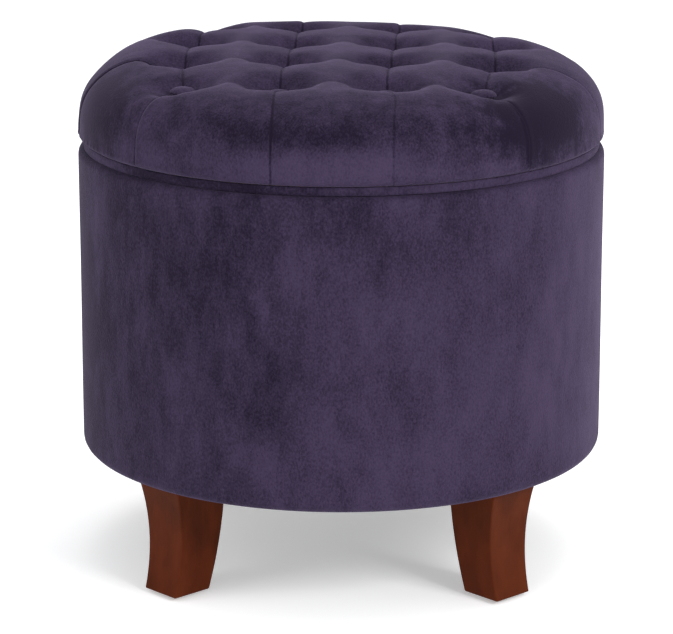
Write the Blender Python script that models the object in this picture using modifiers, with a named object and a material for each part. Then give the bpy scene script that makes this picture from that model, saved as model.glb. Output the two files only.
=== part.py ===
"""Round storage ottoman: a velvet drum on four sabre legs, with a tufted lid that lifts off.

Metres, +Z up. The origin is on the floor, under the middle of the drum, and the front faces -Y.
The legs stand on the diagonals. Every height is stacked up from the floor, piece by piece.
"""
import math

import bmesh
import bpy

# ------------------------------------------------------------------ driving dimensions
GAP = 0.0003                # left between two pieces that touch
SEGMENTS = 32               # steps round the large turned pieces
SMALL_SEGMENTS = 10         # steps round buttons, bolts, nuts and glides
HOLE_SEGMENTS = 8           # steps round screws, eyes and tuft pits
TWINE_HOLE_SEGMENTS = 6
CORNERS = (45, 135, 225, 315)                 # leg directions, in degrees from +X

# Upholstery of the drum
OUTER_RADIUS = 0.2413       # outside of the drum's velvet, 19 inches across
VELVET = 0.0016             # velvet and its backing
DRUM_FOAM = 0.008           # wrap of foam over the shell
BOTTOM_ROUND = 0.0094       # outer rounding of the velvet at the drum's lower edge
RIM_ROUND = 0.0069          # outer rounding of the velvet at the drum's rim
RIM_INNER_ROUND = 0.0028    # rounding where the velvet turns down inside
TURN_UNDER = 0.0313         # how far in from the outside the velvet is stapled underneath

# Carcass of the drum
SHELL = 0.004               # bent hardboard
BOTTOM_BOARD = 0.015
HOOP_HEIGHT = 0.018
WALL_HEIGHT = 0.2767        # underside of the bottom board to the top of the hoop
UPRIGHT_DEPTH = 0.018
UPRIGHT_WIDTH = 0.030
UPRIGHT_COUNT = 6
LINER = 0.002
LINER_FLOOR = 0.003
DUST_COVER = 0.0008
DUST_COVER_INSET = 0.019    # from the outside of the drum

# Legs, measured along and across the radius they stand on
LEG_LENGTH = 0.1013
LEG_INSET = 0.0163          # outer face at the top, in from the outside of the drum
LEG_DRAW_IN = 0.0003        # outer face at the foot, in from the outer face at the top
LEG_TOP_DEPTH = 0.0570      # along the radius
LEG_FOOT_DEPTH = 0.0410
LEG_TOP_WIDTH = 0.053       # across the radius
LEG_FOOT_WIDTH = 0.0422
LEG_OUTER_HOLLOW = 0.0073   # how far the outer face curves in at mid height
LEG_INNER_BULGE = 0.0046    # how far the inner face follows it
LEG_WIDTH_HOLLOW = 0.0008
LEG_STEPS = 7
LEG_EDGE = 0.0016           # bevel of the leg's edges
GLIDE_THICKNESS = 0.003
GLIDE_RADIUS = 0.014
GLIDE_EDGE = 0.0008         # chamfer round the underside

# Leg fixings: a hanger bolt in each leg and a T-nut let into the board
BOLT_RADIUS = 0.004
BOLT_IN_LEG = 0.036
BOLT_UNDER_NUT = 0.001      # the bolt's tip stops this far under the nut's top
NUT_FLANGE_RADIUS = 0.0095
NUT_FLANGE = 0.0015
NUT_BARREL_RADIUS = 0.0056
NUT_BARREL = 0.010
BOLT_TIP = 0.0008           # chamfer at the top of the bolt

# Lid frame
LID_BOARD = 0.012
LID_BOARD_INSET = 0.0073    # edge of the board, in from the outside of the drum
BAND_HEIGHT = 0.0079        # velvet band round the lower edge of the lid
LINING = 0.0012             # cloth under the lid
PLUG = 0.016                # disc that keeps the lid on the drum
PLUG_CLEARANCE = 0.004      # between the lined plug and the velvet inside the rim
SCREW_RADIUS = 0.002
SCREW_HEAD_RADIUS = 0.004
SCREW_HEAD = 0.0025
SCREW_LENGTH = 0.024
SCREW_POINT = 0.003         # tapered end of the screw
SCREW_POINT_RADIUS = 0.0008
SCREW_INSET = 0.0313        # from the edge of the plug

# Lid cushion
CUSHION_HEIGHT = 0.0742     # from the top of the lid board to the top of the velvet
CUSHION_OVERHANG = 0.0      # widest part of the cushion, out from the outside of the drum
CUSHION_LIP = 0.0072        # rounding under the widest part
SHOULDER_REACH = 0.1413     # how far in from the outside the shoulder is rounded
SHOULDER_POWER = 3.0        # 2 is an ellipse, more is squarer
TUFTS_PER_SIDE = 4
TUFT_EDGE_MARGIN = 0.0356   # from the corner tuft to the edge of the lid board
CORNER_TUFT_PULL = 0.009    # corner tufts are set in from the grid along both its axes
TUFT_TURN = math.radians(-1.7)     # the loose lid sits a little turned on the drum
TUFT_DEPTH = 0.021          # button seat, below the top of the cushion
PIT_SEAT_RADIUS = 0.0135
PIT_FLARE_RADIUS = 0.032    # at the height of the cushion's top
PIT_OVERCUT = 1.4           # the pit's cutter is this much taller, so that it clears the top
BUTTON_RADIUS = 0.012
BUTTON_HEIGHT = 0.0068
BUTTON_EDGE = 0.0012
TAB_LENGTH = 0.010          # of the eye tab under a button
TAB_WIDTH = 0.005
TAB_THICKNESS = 0.0016
EYE_RADIUS = 0.0014
EYE_FROM_END = 0.003
TWINE_RADIUS = 0.0008
TWINE_SPREAD = 0.0023       # each strand's distance from the middle of the tab
TWINE_HOLE = 0.0045         # radius of the holes in the board and in the foam
TWINE_DEPTH = 0.0015        # of the twine's middle, above the underside of the board
GROOVE_RADIUS = 0.002

# ------------------------------------------------------------------ heights, from the floor up
LEG_BOTTOM = GLIDE_THICKNESS + GAP
LEG_TOP = LEG_BOTTOM + LEG_LENGTH
DUST_COVER_BOTTOM = LEG_TOP + GAP
DRUM_BOTTOM = DUST_COVER_BOTTOM + DUST_COVER + GAP
BOARD_BOTTOM = DRUM_BOTTOM + VELVET + GAP
BOARD_TOP = BOARD_BOTTOM + BOTTOM_BOARD
WALL_TOP = BOARD_BOTTOM + WALL_HEIGHT
HOOP_BOTTOM = WALL_TOP - HOOP_HEIGHT
DRUM_TOP = WALL_TOP + GAP + VELVET
LID_BOTTOM = DRUM_TOP + GAP
LID_BOARD_BOTTOM = LID_BOTTOM + LINING + GAP
LID_BOARD_TOP = LID_BOARD_BOTTOM + LID_BOARD
PLUG_TOP = LID_BOARD_BOTTOM - GAP
PLUG_BOTTOM = PLUG_TOP - PLUG
CUSHION_BOTTOM = LID_BOTTOM + BAND_HEIGHT + GAP
CUSHION_TOP = LID_BOARD_TOP + CUSHION_HEIGHT
CUSHION_WIDEST = CUSHION_BOTTOM + CUSHION_LIP
BUTTON_SEAT = CUSHION_TOP - TUFT_DEPTH
EYE_HEIGHT = BUTTON_SEAT + GAP - TAB_LENGTH + EYE_FROM_END
TWINE_LEVEL = LID_BOARD_BOTTOM + TWINE_DEPTH

# ------------------------------------------------------------------ radii, from the outside in
FOAM_OUTER = OUTER_RADIUS - VELVET - GAP
FOAM_INNER = FOAM_OUTER - DRUM_FOAM
SHELL_OUTER = FOAM_INNER - GAP
SHELL_INNER = SHELL_OUTER - SHELL
BOARD_RADIUS = SHELL_INNER - GAP
BOARD_FLAT = BOARD_RADIUS * math.cos(math.pi / SEGMENTS)      # to the middle of one facet
UPRIGHT_OUTER = math.sqrt(BOARD_FLAT ** 2 - (UPRIGHT_WIDTH / 2) ** 2)
UPRIGHT_INNER = UPRIGHT_OUTER - UPRIGHT_DEPTH
LINER_OUTER = UPRIGHT_INNER - GAP
LINER_INNER = LINER_OUTER - LINER
HOOP_INNER = LINER_OUTER + GAP
RIM_INNER = LINER_OUTER - VELVET
LID_BOARD_RADIUS = OUTER_RADIUS - LID_BOARD_INSET
BAND_OUTER = LID_BOARD_RADIUS + GAP + VELVET
PLUG_RADIUS = RIM_INNER - PLUG_CLEARANCE - LINING - GAP
CUSHION_RADIUS = OUTER_RADIUS + CUSHION_OVERHANG
LEG_TOP_OUTER = OUTER_RADIUS - LEG_INSET
LEG_FOOT_OUTER = LEG_TOP_OUTER - LEG_DRAW_IN
BOLT_CIRCLE = LEG_TOP_OUTER - LEG_TOP_DEPTH / 2
TUFT_SPACING = (LID_BOARD_RADIUS - TUFT_EDGE_MARGIN) * math.sqrt(2) / (TUFTS_PER_SIDE - 1)


# ------------------------------------------------------------------ tools
def make_collection(name):
    collection = bpy.data.collections.new(name)
    bpy.context.scene.collection.children.link(collection)
    return collection


def make_material(name, colour, roughness, metallic=0.0):
    material = bpy.data.materials.new(name)
    material.use_nodes = True
    surface = material.node_tree.nodes["Principled BSDF"]
    surface.inputs["Base Color"].default_value = (*colour, 1.0)
    surface.inputs["Roughness"].default_value = roughness
    surface.inputs["Metallic"].default_value = metallic
    return material


def place(name, mesh, material=None, location=(0, 0, 0), turn=0.0):
    """An object for a mesh: a part where it has a material, and a hidden cutter where it has none."""
    piece = bpy.data.objects.new(name, mesh)
    if material:
        if not mesh.materials:
            mesh.materials.append(material)
        PARTS.objects.link(piece)
    else:
        CUTTERS.objects.link(piece)
        piece.hide_render = True
        piece.display_type = "WIRE"
    piece.location = location
    piece.rotation_euler.z = turn
    return piece


def on_circle(radius, degrees, height=0.0):
    angle = math.radians(degrees)
    return (radius * math.cos(angle), radius * math.sin(angle), height)


def arc(centre, reach, start, end, steps, power=2.0):
    """Points (radius, height) round a quarter of an ellipse; a power over 2 makes it squarer."""
    points = []
    for step in range(steps + 1):
        angle = math.radians(start + (end - start) * step / steps)
        across = math.copysign(abs(math.cos(angle)) ** (2 / power), math.cos(angle))
        up = math.copysign(abs(math.sin(angle)) ** (2 / power), math.sin(angle))
        points.append((centre[0] + reach[0] * across, centre[1] + reach[1] * up))
    return points


def turned(name, outline, material=None, closed=True, segments=SEGMENTS, location=(0, 0, 0), turn=0.0):
    """An outline of (radius, height) points, turned round Z. Its outer side runs downwards."""
    mesh = bpy.data.meshes.new(name)
    edges = [(i, i + 1) for i in range(len(outline) - 1)]
    if closed:
        edges.append((len(outline) - 1, 0))
    mesh.from_pydata([(radius, 0.0, height) for radius, height in outline], edges, [])
    piece = place(name, mesh, material, location, turn)
    screw = piece.modifiers.new("Turn", "SCREW")
    screw.steps = segments
    screw.render_steps = segments
    screw.use_merge_vertices = True
    screw.merge_threshold = 0.00005
    return piece


def ring(name, inner, outer, bottom, top, material=None):
    return turned(name, [(inner, top), (outer, top), (outer, bottom), (inner, bottom)], material)


def disc(name, radius, bottom, top, material=None):
    return turned(name, [(0, top), (radius, top), (radius, bottom), (0, bottom)], material, closed=False)


def thicken(piece, thickness):
    """Give an open surface its thickness, behind its outer side."""
    shell = piece.modifiers.new("Thickness", "SOLIDIFY")
    shell.thickness = thickness
    shell.offset = -1.0
    shell.use_even_offset = True


def combine(piece, tool, operation="DIFFERENCE"):
    step = piece.modifiers.new(operation.title(), "BOOLEAN")
    step.operation = operation
    step.object = tool
    step.solver = "EXACT"


def as_mesh(piece, name):
    """The shape of a piece with its modifiers or bevel worked out; the piece itself is removed."""
    graph = bpy.context.evaluated_depsgraph_get()
    mesh = bpy.data.meshes.new_from_object(piece.evaluated_get(graph))
    mesh.name = name
    bpy.data.objects.remove(piece, do_unlink=True)
    shape = bmesh.new()
    shape.from_mesh(mesh)
    bmesh.ops.remove_doubles(shape, verts=shape.verts, dist=0.00002)
    shape.to_mesh(mesh)
    shape.free()
    return mesh


def tube(name, points, radius, material=None, turn=0.0):
    """A round cord or channel along straight runs between points, as a mesh."""
    curve = bpy.data.curves.new(name, "CURVE")
    curve.dimensions = "3D"
    curve.bevel_depth = radius
    curve.bevel_resolution = 2
    curve.use_fill_caps = True
    spline = curve.splines.new("POLY")
    spline.points.add(len(points) - 1)
    for point, position in zip(spline.points, points):
        point.co = (*position, 1.0)
    drawn = bpy.data.objects.new(name + "_curve", curve)
    CUTTERS.objects.link(drawn)
    return place(name, as_mesh(drawn, name), material, turn=turn)


def cone(shape, bottom_radius, top_radius, bottom, top, spot=(0, 0), segments=SMALL_SEGMENTS):
    """Add a closed cylinder or cone, standing along Z, to a bmesh."""
    made = bmesh.ops.create_cone(shape, cap_ends=True, segments=segments, radius1=bottom_radius,
                                 radius2=top_radius, depth=top - bottom)
    bmesh.ops.translate(shape, verts=made["verts"], vec=(spot[0], spot[1], (top + bottom) / 2))


def repeated_cones(name, spots, sizes, segments=SMALL_SEGMENTS, turn=0.0):
    """One cutter of equal cones, one at each spot."""
    shape = bmesh.new()
    for spot in spots:
        cone(shape, *sizes, spot=spot, segments=segments)
    mesh = bpy.data.meshes.new(name)
    shape.to_mesh(mesh)
    shape.free()
    return place(name, mesh, turn=turn)


# ------------------------------------------------------------------ drum
def make_drum_body():
    """Bottom board, bent shell, top hoop and uprights: the wooden carcass."""
    wood = make_material("plywood", (0.62, 0.45, 0.28), 0.7)
    board = disc("bottom_board", BOARD_RADIUS, BOARD_BOTTOM, BOARD_TOP, wood)
    for corner in CORNERS:
        recess = [(0, BOARD_TOP + GAP), (NUT_FLANGE_RADIUS + GAP, BOARD_TOP + GAP),
                  (NUT_FLANGE_RADIUS + GAP, BOARD_TOP - NUT_FLANGE - GAP),
                  (NUT_BARREL_RADIUS + GAP, BOARD_TOP - NUT_FLANGE - GAP),
                  (NUT_BARREL_RADIUS + GAP, BOARD_BOTTOM - GAP), (0, BOARD_BOTTOM - GAP)]
        combine(board, turned(f"nut_recess_{corner}", recess, closed=False, segments=SMALL_SEGMENTS,
                              location=on_circle(BOLT_CIRCLE, corner), turn=math.radians(corner)))

    ease = RIM_INNER_ROUND - VELVET - GAP
    hoop = arc((HOOP_INNER + ease, WALL_TOP - ease), (ease, ease), 180, 90, 2)
    hoop += [(BOARD_RADIUS, WALL_TOP), (BOARD_RADIUS, HOOP_BOTTOM), (HOOP_INNER, HOOP_BOTTOM)]
    turned("top_hoop", hoop, make_material("hoop_plywood", (0.60, 0.44, 0.27), 0.7))
    ring("drum_shell", SHELL_INNER, SHELL_OUTER, BOARD_BOTTOM, WALL_TOP,
         make_material("hardboard", (0.30, 0.19, 0.11), 0.65))

    pine = make_material("pine", (0.72, 0.55, 0.34), 0.65)
    height = HOOP_BOTTOM - BOARD_TOP - 2 * GAP
    for number in range(UPRIGHT_COUNT):
        bpy.ops.mesh.primitive_cube_add(size=1.0)
        upright = bpy.context.object
        upright.name = f"upright_{number + 1}"
        upright.data.transform(scale_matrix(UPRIGHT_DEPTH, UPRIGHT_WIDTH, height))
        upright.data.materials.append(pine)
        angle = 360 * number / UPRIGHT_COUNT
        upright.location = on_circle(UPRIGHT_INNER + UPRIGHT_DEPTH / 2, angle, (HOOP_BOTTOM + BOARD_TOP) / 2)
        upright.rotation_euler.z = math.radians(angle)
        for collection in upright.users_collection:
            collection.objects.unlink(upright)
        PARTS.objects.link(upright)


def scale_matrix(x, y, z):
    return ((x, 0, 0, 0), (0, y, 0, 0), (0, 0, z, 0), (0, 0, 0, 1))


def make_drum_upholstery():
    """Foam wrap, velvet cover, lining of the store, its floor, and the cloth underneath."""
    rim = RIM_ROUND - VELVET - GAP
    base = BOTTOM_ROUND - VELVET - GAP
    outline = [(FOAM_INNER, WALL_TOP)]
    outline += arc((FOAM_OUTER - rim, WALL_TOP - rim), (rim, rim), 90, 0, 2)
    outline += arc((FOAM_OUTER - base, BOARD_BOTTOM + base), (base, base), 0, -90, 2)
    outline += [(FOAM_INNER, BOARD_BOTTOM)]
    turned("drum_foam", outline, make_material("foam_wrap", (0.86, 0.83, 0.72), 0.9))

    outline = [(RIM_INNER, HOOP_BOTTOM)]
    outline += arc((RIM_INNER + RIM_INNER_ROUND, DRUM_TOP - RIM_INNER_ROUND),
                   (RIM_INNER_ROUND, RIM_INNER_ROUND), 180, 90, 2)
    outline += arc((OUTER_RADIUS - RIM_ROUND, DRUM_TOP - RIM_ROUND), (RIM_ROUND, RIM_ROUND), 90, 0, 2)
    outline += arc((OUTER_RADIUS - BOTTOM_ROUND, DRUM_BOTTOM + BOTTOM_ROUND),
                   (BOTTOM_ROUND, BOTTOM_ROUND), 0, -90, 2)
    outline += [(OUTER_RADIUS - TURN_UNDER, DRUM_BOTTOM)]
    cover = turned("drum_cover", outline, make_material("drum_velvet", (0.045, 0.028, 0.075), 0.8),
                   closed=False)
    thicken(cover, VELVET)

    ring("inner_liner", LINER_INNER, LINER_OUTER, BOARD_TOP + GAP, HOOP_BOTTOM - GAP,
         make_material("liner_cloth", (0.02, 0.02, 0.022), 0.9))
    disc("liner_floor", LINER_INNER - GAP, BOARD_TOP + GAP, BOARD_TOP + GAP + LINER_FLOOR,
         make_material("liner_floor_cloth", (0.022, 0.022, 0.025), 0.9))

    dust = disc("dust_cover", OUTER_RADIUS - DUST_COVER_INSET, DUST_COVER_BOTTOM,
                DUST_COVER_BOTTOM + DUST_COVER, make_material("dust_cloth", (0.015, 0.015, 0.016), 0.95))
    spots = [on_circle(BOLT_CIRCLE, corner)[:2] for corner in CORNERS]
    radius = BOLT_RADIUS + GAP
    combine(dust, repeated_cones("dust_cover_holes", spots,
                                 (radius, radius, DUST_COVER_BOTTOM - GAP, DRUM_BOTTOM)))


# ------------------------------------------------------------------ legs
def bend(start, middle_shift, end, rise):
    """A value that runs from start to end and is shifted by middle_shift half way up."""
    return start + (end - start) * rise + middle_shift * 4 * rise * (1 - rise)


def leg_mesh():
    """A square block, divided along its height and bent. Local +X points away from the drum."""
    shape = bmesh.new()
    bmesh.ops.create_cube(shape, size=1.0)
    for step in range(1, LEG_STEPS):
        bmesh.ops.bisect_plane(shape, geom=shape.verts[:] + shape.edges[:] + shape.faces[:],
                               plane_co=(0, 0, step / LEG_STEPS - 0.5), plane_no=(0, 0, 1))
    foot_inner = LEG_FOOT_OUTER - LEG_FOOT_DEPTH
    top_inner = LEG_TOP_OUTER - LEG_TOP_DEPTH
    for vert in shape.verts:
        rise = vert.co.z + 0.5
        if vert.co.x > 0:
            distance = bend(LEG_FOOT_OUTER, -LEG_OUTER_HOLLOW, LEG_TOP_OUTER, rise)
        else:
            distance = bend(foot_inner, -LEG_INNER_BULGE, top_inner, rise)
        width = bend(LEG_FOOT_WIDTH, -2 * LEG_WIDTH_HOLLOW, LEG_TOP_WIDTH, rise)
        vert.co = (distance - BOLT_CIRCLE, math.copysign(width / 2, vert.co.y), LEG_BOTTOM + rise * LEG_LENGTH)
    mesh = bpy.data.meshes.new("leg")
    shape.to_mesh(mesh)
    shape.free()
    return mesh


def make_legs():
    """Four legs, each with a hanger bolt, a T-nut and a nylon glide."""
    stained = make_material("stained_wood", (0.11, 0.028, 0.014), 0.35)
    steel = make_material("zinc_steel", (0.62, 0.62, 0.60), 0.35, 1.0)
    nylon = make_material("nylon", (0.05, 0.045, 0.04), 0.5)
    shared_leg = leg_mesh()
    bolt_bottom = LEG_TOP - BOLT_IN_LEG
    bolt_top = BOARD_TOP - BOLT_UNDER_NUT
    nut_bore = BOLT_RADIUS + GAP
    barrel_end = BOARD_TOP - NUT_FLANGE - NUT_BARREL
    nut = [(nut_bore, BOARD_TOP), (NUT_FLANGE_RADIUS, BOARD_TOP), (NUT_FLANGE_RADIUS, BOARD_TOP - NUT_FLANGE),
           (NUT_BARREL_RADIUS, BOARD_TOP - NUT_FLANGE), (NUT_BARREL_RADIUS, barrel_end),
           (nut_bore, barrel_end)]
    tip = BOLT_RADIUS / 2
    bolt = [(0, bolt_top), (BOLT_RADIUS - BOLT_TIP, bolt_top), (BOLT_RADIUS, bolt_top - BOLT_TIP),
            (BOLT_RADIUS, bolt_bottom + 2 * tip), (tip, bolt_bottom), (0, bolt_bottom)]
    bore = [(0, LEG_TOP + GAP), (nut_bore, LEG_TOP + GAP), (nut_bore, bolt_bottom - GAP), (0, bolt_bottom - GAP)]
    glide = [(0, GLIDE_THICKNESS), (GLIDE_RADIUS, GLIDE_THICKNESS), (GLIDE_RADIUS, GLIDE_EDGE),
             (GLIDE_RADIUS - GLIDE_EDGE, 0), (0, 0)]
    foot_centre = LEG_FOOT_OUTER - LEG_FOOT_DEPTH / 2
    for number, corner in enumerate(CORNERS, 1):
        spot = on_circle(BOLT_CIRCLE, corner)
        turn = math.radians(corner)
        leg = place(f"leg_{number}", shared_leg, stained, spot, turn)
        bevel = leg.modifiers.new("Eased edges", "BEVEL")
        bevel.width = LEG_EDGE
        bevel.segments = 1
        combine(leg, turned(f"leg_bore_{number}", bore, closed=False, segments=SMALL_SEGMENTS,
                            location=spot, turn=turn))
        turned(f"leg_bolt_{number}", bolt, steel, closed=False, segments=SMALL_SEGMENTS, location=spot, turn=turn)
        turned(f"t_nut_{number}", nut, steel, segments=SMALL_SEGMENTS, location=spot, turn=turn)
        turned(f"glide_{number}", glide, nylon, closed=False, segments=SMALL_SEGMENTS,
               location=on_circle(foot_centre, corner), turn=turn)


# ------------------------------------------------------------------ lid
def tuft_spots():
    """Places of the tufts in the grid's own axes, row by row from the front."""
    first = -(TUFTS_PER_SIDE - 1) / 2
    steps = [(first + i) * TUFT_SPACING for i in range(TUFTS_PER_SIDE)]
    pulled = steps[-1] - CORNER_TUFT_PULL
    spots = [(x, y) for y in steps for x in steps]
    return [(math.copysign(pulled, x), math.copysign(pulled, y)) if abs(x) == abs(y) == steps[-1] else (x, y)
            for x, y in spots]


def lacing_route():
    """The twine's route in the grid's axes: row after row, up to each button's eye and down again."""
    route = []
    spots = tuft_spots()
    for row in range(TUFTS_PER_SIDE):
        in_row = spots[row * TUFTS_PER_SIDE:(row + 1) * TUFTS_PER_SIDE]
        way = 1 if row % 2 == 0 else -1
        for x, y in in_row[::way]:
            going_up, coming_down = x - way * TWINE_SPREAD, x + way * TWINE_SPREAD
            route += [(going_up, y, TWINE_LEVEL), (going_up, y, EYE_HEIGHT),
                      (coming_down, y, EYE_HEIGHT), (coming_down, y, TWINE_LEVEL)]
    return route


def screw_spots():
    return [on_circle(PLUG_RADIUS - SCREW_INSET, angle)[:2] for angle in (0, 90, 180, 270)]


def make_lid_frame():
    """Lid board, locating plug, their screws, the band round the edge, and the lining underneath."""
    board = disc("lid_board", LID_BOARD_RADIUS, LID_BOARD_BOTTOM, LID_BOARD_TOP,
                 make_material("lid_plywood", (0.62, 0.46, 0.29), 0.7))
    hole = (TWINE_HOLE, TWINE_HOLE, LID_BOARD_BOTTOM - GAP, LID_BOARD_TOP + GAP)
    combine(board, repeated_cones("twine_holes", tuft_spots(), hole, TWINE_HOLE_SEGMENTS, TUFT_TURN))
    flat_run = [point for point in lacing_route() if point[2] == TWINE_LEVEL]
    combine(board, tube("twine_groove", flat_run, GROOVE_RADIUS, turn=TUFT_TURN))

    plug = disc("lid_plug", PLUG_RADIUS, PLUG_BOTTOM, PLUG_TOP, make_material("plug_plywood", (0.6, 0.43, 0.27), 0.7))
    shaft = SCREW_RADIUS + GAP
    screw_top = PLUG_BOTTOM + SCREW_LENGTH
    bores = repeated_cones("screw_bores", screw_spots(), (shaft, shaft, PLUG_BOTTOM - GAP, screw_top + GAP),
                           HOLE_SEGMENTS)
    heads = repeated_cones("screw_countersinks", screw_spots(),
                           (SCREW_HEAD_RADIUS + 2 * GAP, SCREW_RADIUS + 2 * GAP, PLUG_BOTTOM - GAP,
                            PLUG_BOTTOM + SCREW_HEAD + GAP), HOLE_SEGMENTS)
    combine(plug, bores)
    combine(plug, heads)
    combine(board, bores)
    steel = make_material("screw_steel", (0.55, 0.55, 0.53), 0.4, 1.0)
    screw = [(0, screw_top), (SCREW_POINT_RADIUS, screw_top), (SCREW_RADIUS, screw_top - SCREW_POINT),
             (SCREW_RADIUS, PLUG_BOTTOM + SCREW_HEAD), (SCREW_HEAD_RADIUS, PLUG_BOTTOM), (0, PLUG_BOTTOM)]
    for number, spot in enumerate(screw_spots(), 1):
        turned(f"lid_screw_{number}", screw, steel, closed=False, segments=HOLE_SEGMENTS, location=(*spot, 0))

    ring("lid_edge_band", LID_BOARD_RADIUS + GAP, BAND_OUTER, LID_BOTTOM, LID_BOTTOM + BAND_HEIGHT,
         make_material("band_velvet", (0.045, 0.028, 0.075), 0.8))
    lining_wall = PLUG_RADIUS + GAP + LINING
    outline = [(LID_BOARD_RADIUS, LID_BOTTOM), (lining_wall, LID_BOTTOM),
               (lining_wall, PLUG_BOTTOM - GAP - LINING), (0, PLUG_BOTTOM - GAP - LINING)]
    lining = turned("lid_lining", outline, make_material("lining_cloth", (0.02, 0.02, 0.022), 0.9), closed=False)
    thicken(lining, LINING)


def cushion_outline(inset, bottom, floor_radius):
    """The cushion's section, shrunk by inset on its outer side and closed at the bottom."""
    widest = CUSHION_RADIUS - inset
    reach = (SHOULDER_REACH - inset, CUSHION_TOP - CUSHION_WIDEST - inset)
    outline = [(0, CUSHION_TOP - inset)]
    outline += arc((widest - reach[0], CUSHION_WIDEST), reach, 80, 0, 5, SHOULDER_POWER)
    lip = CUSHION_LIP - inset
    outline += [point for point in arc((widest - lip, CUSHION_WIDEST), (lip, lip), -30, -90, 2)
                if point[1] > bottom + GAP or point[0] < widest - lip + GAP]
    outline[-1] = (outline[-1][0], max(outline[-1][1], bottom))
    return outline + [(floor_radius, outline[-1][1]), (floor_radius, bottom), (0, bottom)]


def tuft_pits(name, growth):
    """Sixteen round pits, each grown outwards by growth."""
    rise = TUFT_DEPTH * PIT_OVERCUT
    flare = PIT_SEAT_RADIUS + (PIT_FLARE_RADIUS - PIT_SEAT_RADIUS) * PIT_OVERCUT
    sizes = (PIT_SEAT_RADIUS + growth, flare + growth, BUTTON_SEAT - growth, BUTTON_SEAT - growth + rise)
    return repeated_cones(name, tuft_spots(), sizes, HOLE_SEGMENTS, TUFT_TURN)


def make_cushion():
    """The foam pad and its tufted velvet: two shapes from one section, one inside the other."""
    under = CUSHION_BOTTOM - VELVET
    core = turned("cushion_core", cushion_outline(VELVET, under, LID_BOARD_RADIUS + GAP), closed=False)
    combine(core, tuft_pits("core_pits", VELVET))
    cover = turned("lid_cover", cushion_outline(0, CUSHION_BOTTOM, LID_BOARD_RADIUS),
                   make_material("lid_velvet", (0.045, 0.028, 0.075), 0.8), closed=False)
    combine(cover, tuft_pits("cover_pits", 0))
    combine(cover, core)
    hole = (TWINE_HOLE, TWINE_HOLE, LID_BOARD_TOP, BUTTON_SEAT + GAP)
    combine(cover, repeated_cones("cover_holes", tuft_spots(), hole, TWINE_HOLE_SEGMENTS, TUFT_TURN))

    inset = VELVET + GAP
    foam = turned("lid_foam", cushion_outline(inset, LID_BOARD_TOP + GAP, LID_BOARD_RADIUS),
                  make_material("cushion_foam", (0.88, 0.84, 0.68), 0.9), closed=False)
    combine(foam, tuft_pits("foam_pits", inset))
    combine(foam, repeated_cones("foam_holes", tuft_spots(), hole, TWINE_HOLE_SEGMENTS, TUFT_TURN))


def button_mesh():
    """A covered button: a domed cap with a flat tab under it, and an eye through the tab."""
    cap = [*arc((0, BUTTON_EDGE), (BUTTON_RADIUS, BUTTON_HEIGHT - BUTTON_EDGE), 90, 0, 2),
           (BUTTON_RADIUS - BUTTON_EDGE, 0), (0, 0)]
    button = turned("button_pattern", cap, closed=False, segments=SMALL_SEGMENTS)
    bpy.ops.mesh.primitive_cube_add(size=1.0)
    tab = bpy.context.object
    buried = BUTTON_HEIGHT / 3
    tab.data.transform(scale_matrix(TAB_THICKNESS, TAB_WIDTH, TAB_LENGTH + buried))
    tab.location.z = (buried - TAB_LENGTH) / 2
    eye_height = EYE_FROM_END - TAB_LENGTH
    bpy.ops.mesh.primitive_cylinder_add(vertices=HOLE_SEGMENTS, radius=EYE_RADIUS, depth=3 * TAB_THICKNESS,
                                        location=(0, 0, eye_height), rotation=(0, math.pi / 2, 0))
    eye = bpy.context.object
    combine(button, tab, "UNION")
    combine(button, eye)
    mesh = as_mesh(button, "button")
    bpy.data.objects.remove(tab, do_unlink=True)
    bpy.data.objects.remove(eye, do_unlink=True)
    return mesh


def make_tufts():
    """Sixteen buttons, and the one length of twine that holds them down."""
    velvet = make_material("button_velvet", (0.055, 0.034, 0.09), 0.8)
    shared_button = button_mesh()
    cos, sin = math.cos(TUFT_TURN), math.sin(TUFT_TURN)
    for number, (x, y) in enumerate(tuft_spots(), 1):
        spot = (x * cos - y * sin, x * sin + y * cos, BUTTON_SEAT + GAP)
        place(f"tuft_button_{number:02d}", shared_button, velvet, spot, TUFT_TURN)
    tube("tufting_twine", lacing_route(), TWINE_RADIUS, make_material("waxed_twine", (0.55, 0.47, 0.33), 0.7),
         TUFT_TURN)


def hang_on_lid_axis():
    """Parent every lid piece to an empty on the line that the lid is lifted along."""
    axis = bpy.data.objects.new("lid_lift_axis", None)
    axis.location = (0, 0, LID_BOTTOM)
    PARTS.objects.link(axis)
    bpy.context.view_layer.update()
    for piece in PARTS.objects:
        if piece.name.startswith(("lid_", "tuft")) and piece is not axis:
            piece.parent = axis
            piece.matrix_parent_inverse = axis.matrix_world.inverted()


for old in list(bpy.data.objects):
    bpy.data.objects.remove(old, do_unlink=True)
PARTS = make_collection("storage_ottoman")
CUTTERS = make_collection("cutters")
make_drum_body()
make_drum_upholstery()
make_legs()
make_lid_frame()
make_cushion()
make_tufts()
hang_on_lid_axis()
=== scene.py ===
import bpy
import bmesh
import math
import numpy as np
from mathutils import Matrix, Vector, noise


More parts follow.
